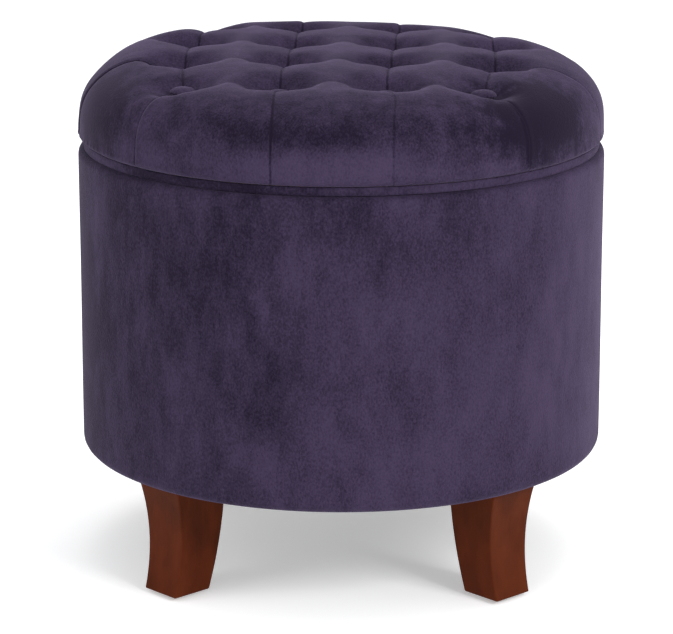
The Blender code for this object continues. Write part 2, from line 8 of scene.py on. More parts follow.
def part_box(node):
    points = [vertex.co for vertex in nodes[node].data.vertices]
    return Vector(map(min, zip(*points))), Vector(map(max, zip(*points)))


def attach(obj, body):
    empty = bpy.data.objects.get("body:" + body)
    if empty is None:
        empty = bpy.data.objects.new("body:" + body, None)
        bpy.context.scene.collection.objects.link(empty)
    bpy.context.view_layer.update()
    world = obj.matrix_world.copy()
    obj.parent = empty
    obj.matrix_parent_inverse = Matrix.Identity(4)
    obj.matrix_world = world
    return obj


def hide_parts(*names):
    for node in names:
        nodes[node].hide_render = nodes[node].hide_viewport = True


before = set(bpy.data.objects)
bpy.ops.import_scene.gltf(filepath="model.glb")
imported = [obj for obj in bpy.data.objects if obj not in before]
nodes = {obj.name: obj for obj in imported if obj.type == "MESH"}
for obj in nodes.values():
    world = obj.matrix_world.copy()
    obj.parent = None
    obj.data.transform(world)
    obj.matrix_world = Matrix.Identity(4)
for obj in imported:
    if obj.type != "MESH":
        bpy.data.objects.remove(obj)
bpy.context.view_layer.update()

# Camera. It stands just right of the ottoman's front, nearly three metres off and at table height,
# looks slightly down, and has a long lens.
camera_data = bpy.data.cameras.new("camera")
camera_data.sensor_width = 36.0
camera_data.lens = 166.2
camera_data.shift_y = -0.055
camera_data.clip_end = 60.0
camera = bpy.data.objects.new("camera", camera_data)
camera_turn = math.radians(1.64)
camera.location = Matrix.Rotation(camera_turn, 3, "Z") @ Vector((-0.0044, -2.8, 0.9511))
camera.rotation_euler = (math.pi / 2 - 0.2434, 0.0, camera_turn)
bpy.context.scene.collection.objects.link(camera)
bpy.context.scene.camera = camera
bpy.context.scene.view_settings.view_transform = "Standard"


# Studio. A plain pale floor that glows a little, as a lit sweep does, an even white surround, a
# large soft key light from the right front, a weaker fill from the left and a soft light above.
floor_sheet = bmesh.new()
bmesh.ops.create_grid(floor_sheet, x_segments=8, y_segments=8, size=14.0)
floor_mesh = bpy.data.meshes.new("floor")
floor_sheet.to_mesh(floor_mesh)
floor_sheet.free()
floor = bpy.data.objects.new("floor", floor_mesh)
bpy.context.scene.collection.objects.link(floor)
floor_paint = bpy.data.materials.new("floor_paint")
floor_paint.use_nodes = True
floor_looks = floor_paint.node_tree.nodes["Principled BSDF"].inputs
floor_looks["Base Color"].default_value = (0.93, 0.93, 0.93, 1)
floor_looks["Roughness"].default_value = 0.9
floor_looks["Emission Color"].default_value = (1, 1, 1, 1)
floor_looks["Emission Strength"].default_value = 0.32
floor_mesh.materials.append(floor_paint)

surround = bpy.data.worlds.new("surround")
surround.use_nodes = True
surround_looks = surround.node_tree.nodes["Background"].inputs
surround_looks["Color"].default_value = (0.97, 0.98, 1.0, 1)
surround_looks["Strength"].default_value = 0.72
bpy.context.scene.world = surround


def soft_light(name, place, aim, size, power):
    """A square lamp with a diffuser, turned towards a point."""
    lamp = bpy.data.lights.new(name, "AREA")
    lamp.size = size
    lamp.energy = power
    lamp_object = bpy.data.objects.new(name, lamp)
    lamp_object.location = place
    lamp_object.rotation_euler = (Vector(aim) - Vector(place)).to_track_quat("-Z", "Y").to_euler()
    bpy.context.scene.collection.objects.link(lamp_object)


soft_light("key_light", (2.3, -2.2, 2.1), (0, 0, 0.3), 1.3, 74)
soft_light("fill_light", (-2.6, -1.6, 1.5), (0, 0, 0.25), 1.6, 22)
soft_light("top_light", (0.3, 0.6, 2.8), (0, 0, 0.4), 2.0, 32)


# Carcass of the drum: a plywood bottom board and top hoop, six sawn pine uprights between them.
# Plywood is laid in thin sheets that show as stripes at its edge; the pine is rough and unfinished.
class Shade:
    """A socket in a material, on which sums are written as they are on paper."""

    def __init__(self, tree, socket=None):
        self.tree = tree
        self.socket = socket

    def node(self, kind, settings=None, values=None, out=0):
        """Adds a node: its settings first, then the values or the links of its sockets."""
        made = self.tree.nodes.new(kind)
        for name, setting in (settings or {}).items():
            setattr(made, name, setting)
        for name, value in (values or {}).items():
            if isinstance(value, Shade):
                self.tree.links.new(value.socket, made.inputs[name])
            else:
                made.inputs[name].default_value = value
        return Shade(self.tree, made.outputs[out])

    def maths(self, operation, first, second=0.0):
        return self.node("ShaderNodeMath", {"operation": operation}, {0: first, 1: second})

    def vector(self, operation, first, second=(0, 0, 0), out=0):
        return self.node("ShaderNodeVectorMath", {"operation": operation}, {0: first, 1: second}, out)

    def __add__(self, other):
        return self.maths("ADD", self, other)

    __radd__ = __add__

    def __sub__(self, other):
        return self.maths("SUBTRACT", self, other)

    def __rsub__(self, other):
        return self.maths("SUBTRACT", other, self)

    def __mul__(self, other):
        return self.maths("MULTIPLY", self, other)

    __rmul__ = __mul__

    def __truediv__(self, other):
        return self.maths("DIVIDE", self, other)

    def between(self, low, high):
        """0 up to low, 1 from high on, and smooth in between."""
        return self.node("ShaderNodeMapRange", {"interpolation_type": "SMOOTHSTEP"},
                         {"Value": self, "From Min": low, "From Max": high})

    def above(self, level):
        """1 where this is more than the level, else 0."""
        return self.maths("GREATER_THAN", self, level)

    def limited(self):
        """This, kept from 0 to 1."""
        return self.maths("MAXIMUM", self.maths("MINIMUM", self, 1.0), 0.0)

    def choose(self, dark, light):
        """The first colour where this is 0, the second where it is 1."""
        return self.node("ShaderNodeMix", {"data_type": "RGBA"}, {0: self, 6: dark, 7: light}, 2)

    def grain(self, where, size, stretch=(1, 1, 1), detail=3.0, rough=0.5):
        """Soft clouds of about the given size in metres, stretched along the axes."""
        laid = self.vector("DIVIDE", where, stretch)
        return self.node("ShaderNodeTexNoise", {},
                         {"Vector": laid, "Scale": 1 / size, "Detail": detail, "Roughness": rough})

    def bump(self, height, depth):
        """A normal from a height that goes from 0 to 1, over a depth in metres."""
        return self.node("ShaderNodeBump", {}, {"Height": height, "Distance": depth, "Strength": 1.0})


def finish_of(name, roughness, specular=0.5, metallic=0.0):
    """A material, its shader, and the start of its sums with the place on the piece."""
    material = bpy.data.materials.new(name)
    material.use_nodes = True
    shader = material.node_tree.nodes["Principled BSDF"]
    shader.inputs["Roughness"].default_value = roughness
    shader.inputs["Specular IOR Level"].default_value = specular
    shader.inputs["Metallic"].default_value = metallic
    shade = Shade(material.node_tree)
    return material, shader, shade, shade.node("ShaderNodeTexCoord", out=3)


def lay_on(shade, shader, **looks):
    """Links sums to the shader's sockets, with spaces for underscores in their names."""
    for name, look in looks.items():
        shade.tree.links.new(look.socket, shader.inputs[name.replace("_", " ")])


def plywood(name, sheet):
    """Pale birch face with its figure, and where the edge shows its sheets, of the given thickness."""
    material, shader, shade, where = finish_of(name, 0.7, 0.3)
    figure = shade.grain(where, 0.02, (7, 1, 1), 4.0, 0.6)
    fine = shade.grain(where, 0.0012, (20, 1, 1))
    face = (figure * 0.75 + fine * 0.25).choose((0.42, 0.27, 0.14, 1), (0.66, 0.48, 0.29, 1))
    height = shade.node("ShaderNodeSeparateXYZ", {}, {0: where}, 2)
    stripe = shade.maths("PINGPONG", height, sheet) / sheet
    upright = shade.node("ShaderNodeSeparateXYZ", {}, {0: shade.node("ShaderNodeNewGeometry", out=1)}, 2)
    on_edge = 1 - shade.maths("ABSOLUTE", upright).between(0.3, 0.6)
    dark_sheet = stripe.between(0.42, 0.58) * on_edge
    lay_on(shade, shader, Base_Color=(dark_sheet * 0.55).choose(face, (0.27, 0.15, 0.07, 1)),
           Roughness=0.6 + fine * 0.25, Normal=shade.bump(fine * 0.6 + dark_sheet * 0.4, 0.0003))
    return material


def pine(name):
    """Sawn softwood with yellow and brown bands up its length."""
    material, shader, shade, where = finish_of(name, 0.75, 0.3)
    bands = shade.grain(where, 0.006, (1, 1, 12), 3.0, 0.6)
    sawn = shade.grain(where, 0.0011, (1, 1, 0.6))
    banded = bands.between(0.3, 0.7).choose((0.60, 0.40, 0.20, 1), (0.74, 0.55, 0.33, 1))
    lay_on(shade, shader, Base_Color=banded, Roughness=0.65 + sawn * 0.25,
           Normal=shade.bump(sawn, 0.0003))
    return material


def give(finish, *names):
    """Puts a finish on nodes whose shape is already right."""
    for name in names:
        nodes[name].data.materials.clear()
        nodes[name].data.materials.append(finish)


give(plywood("plywood_drum", 0.0025), "bottom_board", "top_hoop")
give(pine("pine_sawn"), *["upright_%d" % number for number in range(1, 7)])


# Drum shell: brown hardboard bent round the carcass and stapled, with its smooth face outwards
# and the print of the press cloth on the inside.
hardboard, hardboard_shader, shade, where = finish_of("hardboard", 0.6, 0.35)
fibres = shade.grain(where, 0.002, detail=5.0, rough=0.7)
mottle = shade.grain(where, 0.05)
lay_on(shade, hardboard_shader,
       Base_Color=(fibres * 0.6 + mottle * 0.4).choose((0.14, 0.075, 0.035, 1), (0.30, 0.18, 0.095, 1)),
       Roughness=0.5 + fibres * 0.25, Normal=shade.bump(fibres, 0.0002))
give(hardboard, "drum_shell")


# Foam wrap of the drum: one strip of cream upholstery foam glued round the shell, its ends
# butted at the back, rounded a little where it was cut.
def section(corners, step=0.05):
    """A wire through (radius, height, rounding) corners, cut into lengths of about a step."""
    wire = bmesh.new()
    points = [wire.verts.new((radius, 0, height)) for radius, height, rounding in corners]
    for start, end in zip(points, points[1:]):
        wire.edges.new((start, end))
    for point, (radius, height, rounding) in zip(points, corners):
        if rounding:
            bmesh.ops.bevel(wire, geom=[point], offset=rounding, offset_type="OFFSET", segments=5,
                            profile=0.5, affect="VERTICES", material=-1)
    for edge in [edge for edge in wire.edges if edge.calc_length() > step]:
        bmesh.ops.subdivide_edges(wire, edges=[edge], cuts=int(edge.calc_length() / step))
    return wire


def turned(wire, steps):
    """Turns a section right round Z."""
    bmesh.ops.spin(wire, geom=wire.verts[:] + wire.edges[:], cent=(0, 0, 0), axis=(0, 0, 1),
                   dvec=(0, 0, 0), angle=math.tau, steps=steps, use_merge=True)
    bmesh.ops.remove_doubles(wire, verts=wire.verts, dist=0.00001)
    bmesh.ops.recalc_face_normals(wire, faces=wire.faces)


def piece(name, shape, finish, body, stands_for=()):
    """Makes a shape an object that rides on a body and stands for CAD nodes."""
    mesh = bpy.data.meshes.new(name)
    shape.to_mesh(mesh)
    shape.free()
    mesh.shade_smooth()
    mesh.set_sharp_from_angle(angle=math.radians(45))
    mesh.materials.append(finish)
    made = bpy.data.objects.new(name, mesh)
    bpy.context.scene.collection.objects.link(made)
    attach(made, body)
    if stands_for:
        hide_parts(*stands_for)
    return made


foam, foam_shader, shade, where = finish_of("foam_cream", 0.95, 0.2)
cells = shade.node("ShaderNodeTexVoronoi", {}, {"Vector": where, "Scale": 900.0})
yellowing = shade.grain(where, 0.06)
lay_on(shade, foam_shader,
       Base_Color=yellowing.choose((0.72, 0.64, 0.42, 1), (0.84, 0.79, 0.62, 1)),
       Normal=shade.bump(cells, 0.0004))

foam_low, foam_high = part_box("drum_foam")
shell_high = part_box("drum_shell")[1]
under_velvet = 0.001
foam_in = shell_high.x + 0.0003
foam_out = foam_high.x - under_velvet
foam_foot = foam_low.z + under_velvet
foam_top = foam_high.z - under_velvet
foam_wrap = section([(foam_in, foam_foot, 0), (foam_out, foam_foot, 0.0066), (foam_out, foam_top, 0.0058),
                     (foam_in, foam_top, 0), (foam_in, foam_foot, 0)], 0.02)
turned(foam_wrap, 128)
drum_foam = piece("foam_wrap", foam_wrap, foam, "drum", ["drum_foam"])


# Velvet of the drum: one width of short-piled velvet drawn round the foam, sewn up the back,
# turned over the rim into the drum and turned under the bottom, and stapled at both ends.
def velvet(name, spread, nap_and_light_blobs, fold_shade=None):
    """Purple velvet. Its pile lies this way and that, in streaks that are longer up and down by
    spread, and in round patches of (middle, size, how much lighter), some of them patches of the pile
    and some painted light and painted shade. The fold sum, called with (shade, where), is 1 in the
    bottom of a fold, where the colour is darkened as painted shade."""
    material, shader, shade, where = finish_of(name, 0.82, 0.06)
    shader.inputs["Sheen Weight"].default_value = 0.17
    shader.inputs["Sheen Roughness"].default_value = 0.38
    shader.inputs["Sheen Tint"].default_value = (0.62, 0.50, 0.80, 1)
    pile = shade.grain(where, 0.0016, (1, 1, 1.5), 2.0, 0.65)
    brushed = shade.grain(where, 0.016, (1, 1, spread), 4.0, 0.62)
    stroked = shade.grain(where, 0.06, (1, 1, spread * 0.6), 3.0, 0.5)
    lie_and_shade = brushed * 0.72 + stroked * 0.66 + (pile - 0.5) * 0.90 - 0.19
    # Round patches: some are patches of the pile, some are painted light and painted shade.
    for middle, size, lighter in nap_and_light_blobs:
        away = shade.vector("DIVIDE", shade.vector("SUBTRACT", where, middle), size)
        ragged = shade.vector("LENGTH", away, out=1) + (brushed - 0.5) * 0.6
        lie_and_shade = lie_and_shade + (1 - ragged.between(0.25, 1.1)) * lighter
    if fold_shade is not None:
        line = fold_shade(shade, where)
        # Painted shade: the colour is darkened along the bottom of each fold.
        lie_and_shade = lie_and_shade - line * 0.42
        relief = pile * 0.35 + (1 - line) * 0.65
        depth = 0.0009
    else:
        relief = pile
        depth = 0.0005
    purple = lie_and_shade.between(0.08, 0.98).choose((0.0085, 0.0052, 0.0150, 1), (0.0465, 0.0322, 0.0675, 1))
    lay_on(shade, shader, Base_Color=purple, Roughness=0.74 + pile * 0.16,
           Normal=shade.bump(relief, depth))
    return material


drum_low, drum_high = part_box("drum_cover")
hoop_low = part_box("top_hoop")[0]
liner_low, liner_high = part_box("inner_liner")
velvet_thick = 0.0016
drum_radius = drum_high.x
turn_under = drum_radius - 0.0313
rim_inner = liner_high.x - velvet_thick
drum_skin = section([(turn_under, drum_low.z, 0), (drum_radius, drum_low.z, 0.0094),
                     (drum_radius, drum_high.z, 0.0069), (rim_inner, drum_high.z, 0.0030),
                     (rim_inner, hoop_low.z, 0)], 0.0065)
turned(drum_skin, 256)
seam_half_width = 0.0016
seam_depth = 0.0011
seam_ridge = 0.0004
stitch = 0.011
stitch_pull = 0.00025
slack_depth = 0.00035
ripple_depth = 0.00016
wall_starts = drum_radius - 0.0093
for point in drum_skin.verts:
    radius = point.co.xy.length
    if radius > wall_starts:
        side = min(1.0, (radius - wall_starts) / 0.009)
        wave = noise.noise(point.co * 9.2)
        ripple = noise.noise(Vector((point.co.x * 34, point.co.y * 34, point.co.z * 7)))
        from_seam = abs(point.co.x) if point.co.y > 0 else 1.0
        sewn = seam_depth * math.exp(-(from_seam / seam_half_width) ** 2)
        sewn -= seam_ridge * math.exp(-((from_seam - 0.006) / 0.003) ** 2)
        sewn += stitch_pull * math.sin(point.co.z * math.tau / stitch) * math.exp(-from_seam / 0.007)
        above_turn = min(1.0, max(0.0, (point.co.z - drum_low.z - 0.008) / 0.014))
        uneven = slack_depth * (1 + wave) + ripple_depth * (1 + ripple)
        inward = side * (uneven + sewn * above_turn)
        point.co.xy *= (radius - inward) / radius
bmesh.ops.recalc_face_normals(drum_skin, faces=drum_skin.faces)
bmesh.ops.solidify(drum_skin, geom=drum_skin.faces[:], thickness=velvet_thick - 0.0002)
# These patches are painted light and painted shade over patches of the pile: lighter on the right and front,
# where the key light falls, and darker on the left, darkest at the left edge, where they hold back the sheen.
drum_velvet = velvet("velvet_drum", 2.4,
                     [((0.20, -0.12, 0.24), (0.16, 0.2, 0.26), 0.20),
                      ((0.05, -0.24, 0.20), (0.10, 0.1, 0.17), 0.15),
                      ((0.0, -0.24, 0.14), (0.20, 0.1, 0.05), 0.08),
                      ((-0.235, -0.04, 0.25), (0.05, 0.10, 0.22), -0.30),
                      ((-0.13, -0.20, 0.30), (0.10, 0.1, 0.10), -0.12),
                      ((-0.20, -0.12, 0.20), (0.07, 0.1, 0.16), -0.05)])
piece("velvet_drum_cover", drum_skin, drum_velvet, "drum", ["drum_cover"])


# Inside of the drum: black non-woven cloth glued to a bent board liner and to a thin round floor,
# a little slack here and there.
lining, lining_shader, shade, where = finish_of("lining_black", 0.9, 0.25)
spots = shade.node("ShaderNodeTexVoronoi", {"distance": "CHEBYCHEV"}, {"Vector": where, "Scale": 480.0})
threads = shade.grain(where, 0.0008, (1, 1, 3))
slack = shade.grain(where, 0.05)
lay_on(shade, lining_shader,
       Base_Color=(threads * 0.5 + slack * 0.5).choose((0.008, 0.008, 0.009, 1), (0.032, 0.031, 0.034, 1)),
       Roughness=0.8 + threads * 0.15, Normal=shade.bump(spots * 0.5 + threads * 0.5, 0.0002))

liner_in = liner_high.x - 0.002
wall_in = liner_in + 0.0001
wall_out = liner_high.x - 0.0001
wall_foot = liner_low.z + 0.0002
wall_top = liner_high.z - 0.0002
wall = section([(wall_in, wall_foot, 0), (wall_out, wall_foot, 0), (wall_out, wall_top, 0),
                (wall_in, wall_top, 0), (wall_in, wall_foot, 0)], 0.012)
turned(wall, 160)
for point in wall.verts:
    radius = point.co.xy.length
    if radius < liner_in + 0.001 and point.co.z < liner_high.z - 0.004:
        loose = noise.noise(Vector((point.co.x * 16, point.co.y * 16, point.co.z * 9)))
        slack_here = 0.0009 * max(0.0, loose)
        point.co.xy *= (radius - slack_here) / radius
piece("liner_wall", wall, lining, "drum", ["inner_liner"])

floor_low, floor_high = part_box("liner_floor")
base = section([(0, floor_low.z + 0.0001, 0), (floor_high.x - 0.0004, floor_low.z + 0.0001, 0.0006),
                (floor_high.x - 0.0004, floor_high.z - 0.0004, 0.0008), (0, floor_high.z - 0.0004, 0)], 0.012)
turned(base, 128)
for point in base.verts:
    if point.co.z > floor_high.z - 0.001 and point.co.xy.length < floor_high.x - 0.006:
        point.co.z += 0.0004 * max(-0.5, noise.noise(point.co * 14))
piece("liner_base", base, lining, "drum", ["liner_floor"])


# Dust cover: thin black cambric stretched under the drum over the velvet's turned edge,
# its own edge folded in, and stapled all round.
dust_low, dust_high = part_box("dust_cover")
dust = section([(0, dust_low.z + 0.0002, 0), (dust_high.x - 0.012, dust_low.z + 0.0002, 0),
                (dust_high.x - 0.011, dust_low.z, 0), (dust_high.x, dust_low.z, 0.0003),
                (dust_high.x, dust_high.z, 0.0003), (0, dust_high.z, 0)], 0.01)
turned(dust, 128)
for point in dust.verts:
    if point.co.z < dust_low.z + 0.0003 and point.co.xy.length < dust_high.x - 0.014:
        point.co.z += 0.0002 * noise.noise(point.co * 20)
piece("dust_cloth", dust, lining, "drum", ["dust_cover"])

zinc, zinc_shader, shade, where = finish_of("zinc_steel", 0.35, 0.5, 1.0)
spangle = shade.node("ShaderNodeTexVoronoi", {}, {"Vector": where, "Scale": 700.0}, 1)
smears = shade.grain(where, 0.004)
tone = shade.node("ShaderNodeSeparateColor", {}, {0: spangle}, 0)
lay_on(shade, zinc_shader,
       Base_Color=(tone * 0.5 + smears * 0.5).choose((0.42, 0.43, 0.44, 1), (0.70, 0.71, 0.73, 1)),
       Roughness=0.28 + smears * 0.25, Normal=shade.bump(smears, 0.0001))


def staple_ring(name, radius, level, count, body):
    """Fine wire staples shot upwards through cloth, all lying along a circle."""
    ring = bmesh.new()
    crown_size = (0.0105, 0.0011, 0.0006)
    below_cloth = 0.0002
    for number in range(count):
        made = bmesh.ops.create_cube(ring, size=1.0)["verts"]
        bmesh.ops.scale(ring, vec=crown_size, verts=made)
        long_edges = {edge for point in made for edge in point.link_edges}
        rounded = bmesh.ops.bevel(ring, geom=list(long_edges), offset=0.0002, segments=1, profile=0.5,
                                  affect="EDGES", material=-1)["verts"]
        joined = list({point for start in rounded for face in start.link_faces for point in face.verts})
        skew = math.radians(5) * math.sin(number * 2.3)
        bmesh.ops.rotate(ring, verts=joined, cent=(0, 0, 0), matrix=Matrix.Rotation(skew, 3, "Z"))
        bmesh.ops.translate(ring, verts=joined, vec=(0, -radius, level - below_cloth))
        turn = Matrix.Rotation(math.tau * (number + 0.2 * math.sin(number * 1.7)) / count, 3, "Z")
        bmesh.ops.rotate(ring, verts=joined, cent=(0, 0, 0), matrix=turn)
    return piece(name, ring, zinc, body)


staple_ring("dust_cloth_staples", dust_high.x - 0.006, dust_low.z, 28, "drum")


# Legs: four short sabre legs of solid rubberwood, hollow on the outer face, cut square and eased
# at the edges, stained red-brown and lacquered. The lacquer is thin on the edges, and the colour is
# lighter towards the feet.
def stained_wood(name):
    """Reddish stain over straight grain; the colour is darker towards the top, and pale where the edges are
    rubbed.
    """
    material, shader, shade, where = finish_of(name, 0.42, 0.02)
    shader.inputs["Coat Roughness"].default_value = 0.22
    shader.inputs["Coat Weight"].default_value = 0.01
    lines = shade.grain(where, 0.0022, (1, 1, 26), 3.0, 0.6)
    cloud = shade.grain(where, 0.017, (1, 1, 2.2), 3.0, 0.55)
    pores = shade.grain(where, 0.0006, (1, 1, 14), 1.0, 0.5).between(0.60, 0.72)
    height = shade.node("ShaderNodeSeparateXYZ", {}, {0: where}, 2)
    low_down = 1 - height.between(0.02, 0.10)
    rubbed = shade.node("ShaderNodeAttribute", {"attribute_name": "rubbed"}, out=2)
    tone = lines * 0.42 + cloud * 0.62 + low_down * 0.26
    stain = tone.between(0.30, 0.98).choose((0.0052, 0.0010, 0.0007, 1), (0.040, 0.0046, 0.0014, 1))
    stain = (pores * 0.55).choose(stain, (0.009, 0.003, 0.002, 1))
    stain = (rubbed * 0.45 * (0.5 + cloud)).choose(stain, (0.14, 0.032, 0.011, 1))
    lay_on(shade, shader, Base_Color=stain, Roughness=0.34 + cloud * 0.18 + pores * 0.15,
           Normal=shade.bump(lines * 0.5 + (1 - pores) * 0.5, 0.00012))
    return material


leg_finish = stained_wood("stained_wood_legs")
leg_low, leg_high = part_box("leg_1")
leg_steps = 18
outer_top, outer_foot, outer_hollow = 0.2250, 0.2247, -0.0073
inner_top, inner_foot, inner_hollow = 0.1680, 0.1837, -0.0046
width_top, width_foot, width_hollow = 0.0530, 0.0422, -0.0016


def swept(foot, top, hollow, rise):
    """A measure of the leg at a share of its height, with its curve added."""
    return foot + (top - foot) * rise + 4 * hollow * rise * (1 - rise)


for number in range(1, 5):
    leg = bmesh.new()
    bmesh.ops.create_cube(leg, size=1.0)
    uprights = [edge for edge in leg.edges if abs(edge.verts[0].co.z - edge.verts[1].co.z) > 0.5]
    bmesh.ops.subdivide_edges(leg, edges=uprights, cuts=leg_steps, use_grid_fill=True)
    for point in leg.verts:
        rise = point.co.z + 0.5
        face = swept(outer_foot, outer_top, outer_hollow, rise)
        back = swept(inner_foot, inner_top, inner_hollow, rise)
        width = swept(width_foot, width_top, width_hollow, rise)
        point.co = (back + (face - back) * (point.co.x + 0.5), point.co.y * width,
                    leg_low.z + (leg_high.z - leg_low.z) * rise)
    arris = [edge for edge in leg.edges if edge.calc_face_angle(0) > 1.2]
    rubbed = leg.verts.layers.float.new("rubbed")
    eased = bmesh.ops.bevel(leg, geom=arris, offset=0.0015, segments=3, profile=0.5,
                            affect="EDGES", material=-1)
    for face in eased["faces"]:
        for point in face.verts:
            point[rubbed] = 1.0
    turn = Matrix.Rotation(math.radians(90 * number - 45), 3, "Z")
    bmesh.ops.rotate(leg, verts=leg.verts, cent=(0, 0, 0), matrix=turn)
    made = piece("sabre_leg_%d" % number, leg, leg_finish, "drum", ["leg_%d" % number])
    evened = made.modifiers.new("even_faces", "WEIGHTED_NORMAL")
    evened.weight = 80


# Leg fixings and glides: a steel bolt up into a nut with a flange under the bottom board,
# and a grey nylon disc nailed under each foot.
give(zinc, *["leg_bolt_%d" % number for number in range(1, 5)])
give(zinc, *["t_nut_%d" % number for number in range(1, 5)])

nylon, nylon_shader, shade, where = finish_of("nylon_glide", 0.45, 0.4)
scuffs = shade.grain(where, 0.0015, (6, 1, 1), 4.0, 0.7)
lay_on(shade, nylon_shader,
       Base_Color=scuffs.choose((0.055, 0.052, 0.050, 1), (0.16, 0.155, 0.15, 1)),
       Roughness=0.36 + scuffs * 0.3, Normal=shade.bump(scuffs, 0.0001))
for number in range(1, 5):
    low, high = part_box("glide_%d" % number)
    glide_radius = (high.x - low.x) / 2
    disc = section([(0, 0.0009, 0), (0.0022, 0.0009, 0), (0.0034, 0, 0.0003), (glide_radius, 0, 0.0012),
                    (glide_radius, high.z - 0.0001, 0.0003), (0, high.z - 0.0001, 0)], 0.004)
    turned(disc, 48)
    bmesh.ops.translate(disc, verts=disc.verts, vec=((low.x + high.x) / 2, (low.y + high.y) / 2, 0))
    piece("foot_glide_%d" % number, disc, nylon, "drum", ["glide_%d" % number])


# Lid board, locating plug and the screws that hold them together. Both are plywood, and all
# are covered, above by the cushion and below by the lining.
give(plywood("plywood_lid", 0.0024), "lid_board", "lid_plug")
give(zinc, *["lid_screw_%d" % number for number in range(1, 5)])


# Lining of the lid: black non-woven cloth over the plug and the underside of the board, pulled
# into the corner round the plug and stapled near the edge of the board.
lining_low, lining_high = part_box("lid_lining")
plug_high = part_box("lid_plug")[1]
plug_radius = plug_high.x + 0.0014
lid_cloth_level = lining_high.z - 0.0012
lid_cloth = section([(0, lining_low.z, 0), (plug_radius, lining_low.z, 0.0022),
                     (plug_radius, lid_cloth_level, 0.0010), (lining_high.x, lid_cloth_level, 0.0004)], 0.008)
turned(lid_cloth, 160)
for point in lid_cloth.verts:
    radius = point.co.xy.length
    angle = math.atan2(point.co.y, point.co.x)
    if radius < plug_radius - 0.004:
        point.co.z += 0.0003 * (1 + noise.noise(point.co * 17)) * min(1.0, (plug_radius - radius) / 0.03)
    elif radius < lining_high.x - 0.004 and point.co.z > lining_low.z + 0.006:
        point.co.z += 0.0002 * math.sin(angle * 57) * (1 - abs(radius - plug_radius - 0.01) / 0.03)
bmesh.ops.recalc_face_normals(lid_cloth, faces=lid_cloth.faces)
lowest = min(lid_cloth.faces, key=lambda face: face.calc_center_median().z)
if lowest.normal.z > 0:
    bmesh.ops.reverse_faces(lid_cloth, faces=lid_cloth.faces)
bmesh.ops.solidify(lid_cloth, geom=lid_cloth.faces[:], thickness=0.0009)
piece("lid_cloth", lid_cloth, lining, "lid", ["lid_lining"])
staple_ring("lid_cloth_staples", plug_radius + 0.022, lid_cloth_level, 30, "lid")


# Velvet band: the strip that closes the gap between the cushion and the drum, folded double
# and glued round the edge of the lid, so that its lower edge is soft and not quite level.
band_low, band_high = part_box("lid_edge_band")
band_in = band_high.x - 0.0016
band_out = band_high.x - 0.0001
band = section([(band_in, band_low.z, 0), (band_out, band_low.z, 0.0007), (band_out, band_high.z, 0.0007),
                (band_in, band_high.z, 0), (band_in, band_low.z, 0)], 0.0016)
turned(band, 200)
for point in band.verts:
    angle = math.atan2(point.co.y, point.co.x)
    along = noise.noise(Vector((math.cos(angle) * 3, math.sin(angle) * 3, 0.5)))
    height = (point.co.z - band_low.z) / (band_high.z - band_low.z)
    if point.co.xy.length > band_high.x - 0.0012:
        roll = 0.0007 * math.sin(math.pi * height) + 0.0003 * along
        point.co.xy *= (point.co.xy.length + max(0.0, roll)) / point.co.xy.length
    point.co.z += 0.00025 * along * (1 - height)
# The lighter patch on the right and the darker patch on the left are painted light and painted shade, as the
# key light falls from the right.
band_velvet = velvet("velvet_band", 1.0, [((0.16, -0.17, 0.39), (0.12, 0.12, 0.1), 0.18),
                                          ((-0.12, -0.2, 0.39), (0.10, 0.1, 0.1), -0.22)])
piece("velvet_band", band, band_velvet, "lid", ["lid_edge_band"])


# Cushion of the lid: thick foam under the same velvet, drawn down by sixteen tufts in four rows
# so that it rises in square pillows with a fold from tuft to tuft, and pleated over the shoulder
# from each outer tuft down to the lower edge. It is blown up a little as cloth, then creased.
cover_low, cover_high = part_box("lid_cover")
board_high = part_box("lid_board")[1]
button_names = ["tuft_button_%02d" % number for number in range(1, 17)]
button_middles = [sum(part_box(name), Vector()) / 2 for name in button_names]
second_row = button_middles[7] - button_middles[4]
tuft_turn = math.atan2(second_row.y, second_row.x)
spacing = second_row.xy.length / 3
button_height = 0.0068
seat_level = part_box(button_names[0])[1].z - button_height - 0.0003
widest = cover_high.x
crown = cover_high.z
lip = 0.0072
widest_level = cover_low.z + lip
shoulder_reach = 0.1413
shoulder_in = widest - shoulder_reach
outline = [(0.0, cover_low.z + 0.0003), (widest - lip, cover_low.z + 0.0003)]
for turn in range(20, 91, 14):
    lip_out = lip * math.sin(math.radians(turn))
    lip_down = lip * math.cos(math.radians(turn))
    outline.append((widest - lip + lip_out, widest_level - lip_down))
for turn in range(3, 90, 3):
    out_share = math.cos(math.radians(turn)) ** (2 / 3)
    up_share = math.sin(math.radians(turn)) ** (2 / 3)
    outline.append((shoulder_in + (widest - shoulder_in) * out_share,
                    widest_level + (crown - widest_level) * up_share))
outline += [(shoulder_in, crown), (shoulder_in * 0.5, crown), (0.0, crown)]
puff = section([(radius, height, 0) for radius, height in outline], 0.02)
turned(puff, 160)
blank_mesh = bpy.data.meshes.new("cushion_blank")
puff.to_mesh(blank_mesh)
puff.free()
blank = bpy.data.objects.new("cushion_blank", blank_mesh)
bpy.context.scene.collection.objects.link(blank)
remesh = blank.modifiers.new("even_mesh", "REMESH")
remesh.mode = "VOXEL"
remesh.voxel_size = spacing / 24


def applied(source, name):
    """The mesh of an object with its modifiers worked in."""
    made = bpy.data.meshes.new_from_object(source.evaluated_get(bpy.context.evaluated_depsgraph_get()))
    made.name = name
    return made


def places(mesh):
    """All points of a mesh as rows of x, y and z."""
    found = np.zeros(len(mesh.vertices) * 3, np.float32)
    mesh.vertices.foreach_get("co", found)
    return found.reshape(-1, 3).astype(float)


def put(mesh, found):
    """Moves all points of a mesh."""
    mesh.vertices.foreach_set("co", found.astype(np.float32).ravel())
    mesh.update()


corner_pull = 1.5 * spacing - max((Matrix.Rotation(-tuft_turn, 3, "Z") @ button_middles[3]).xy)


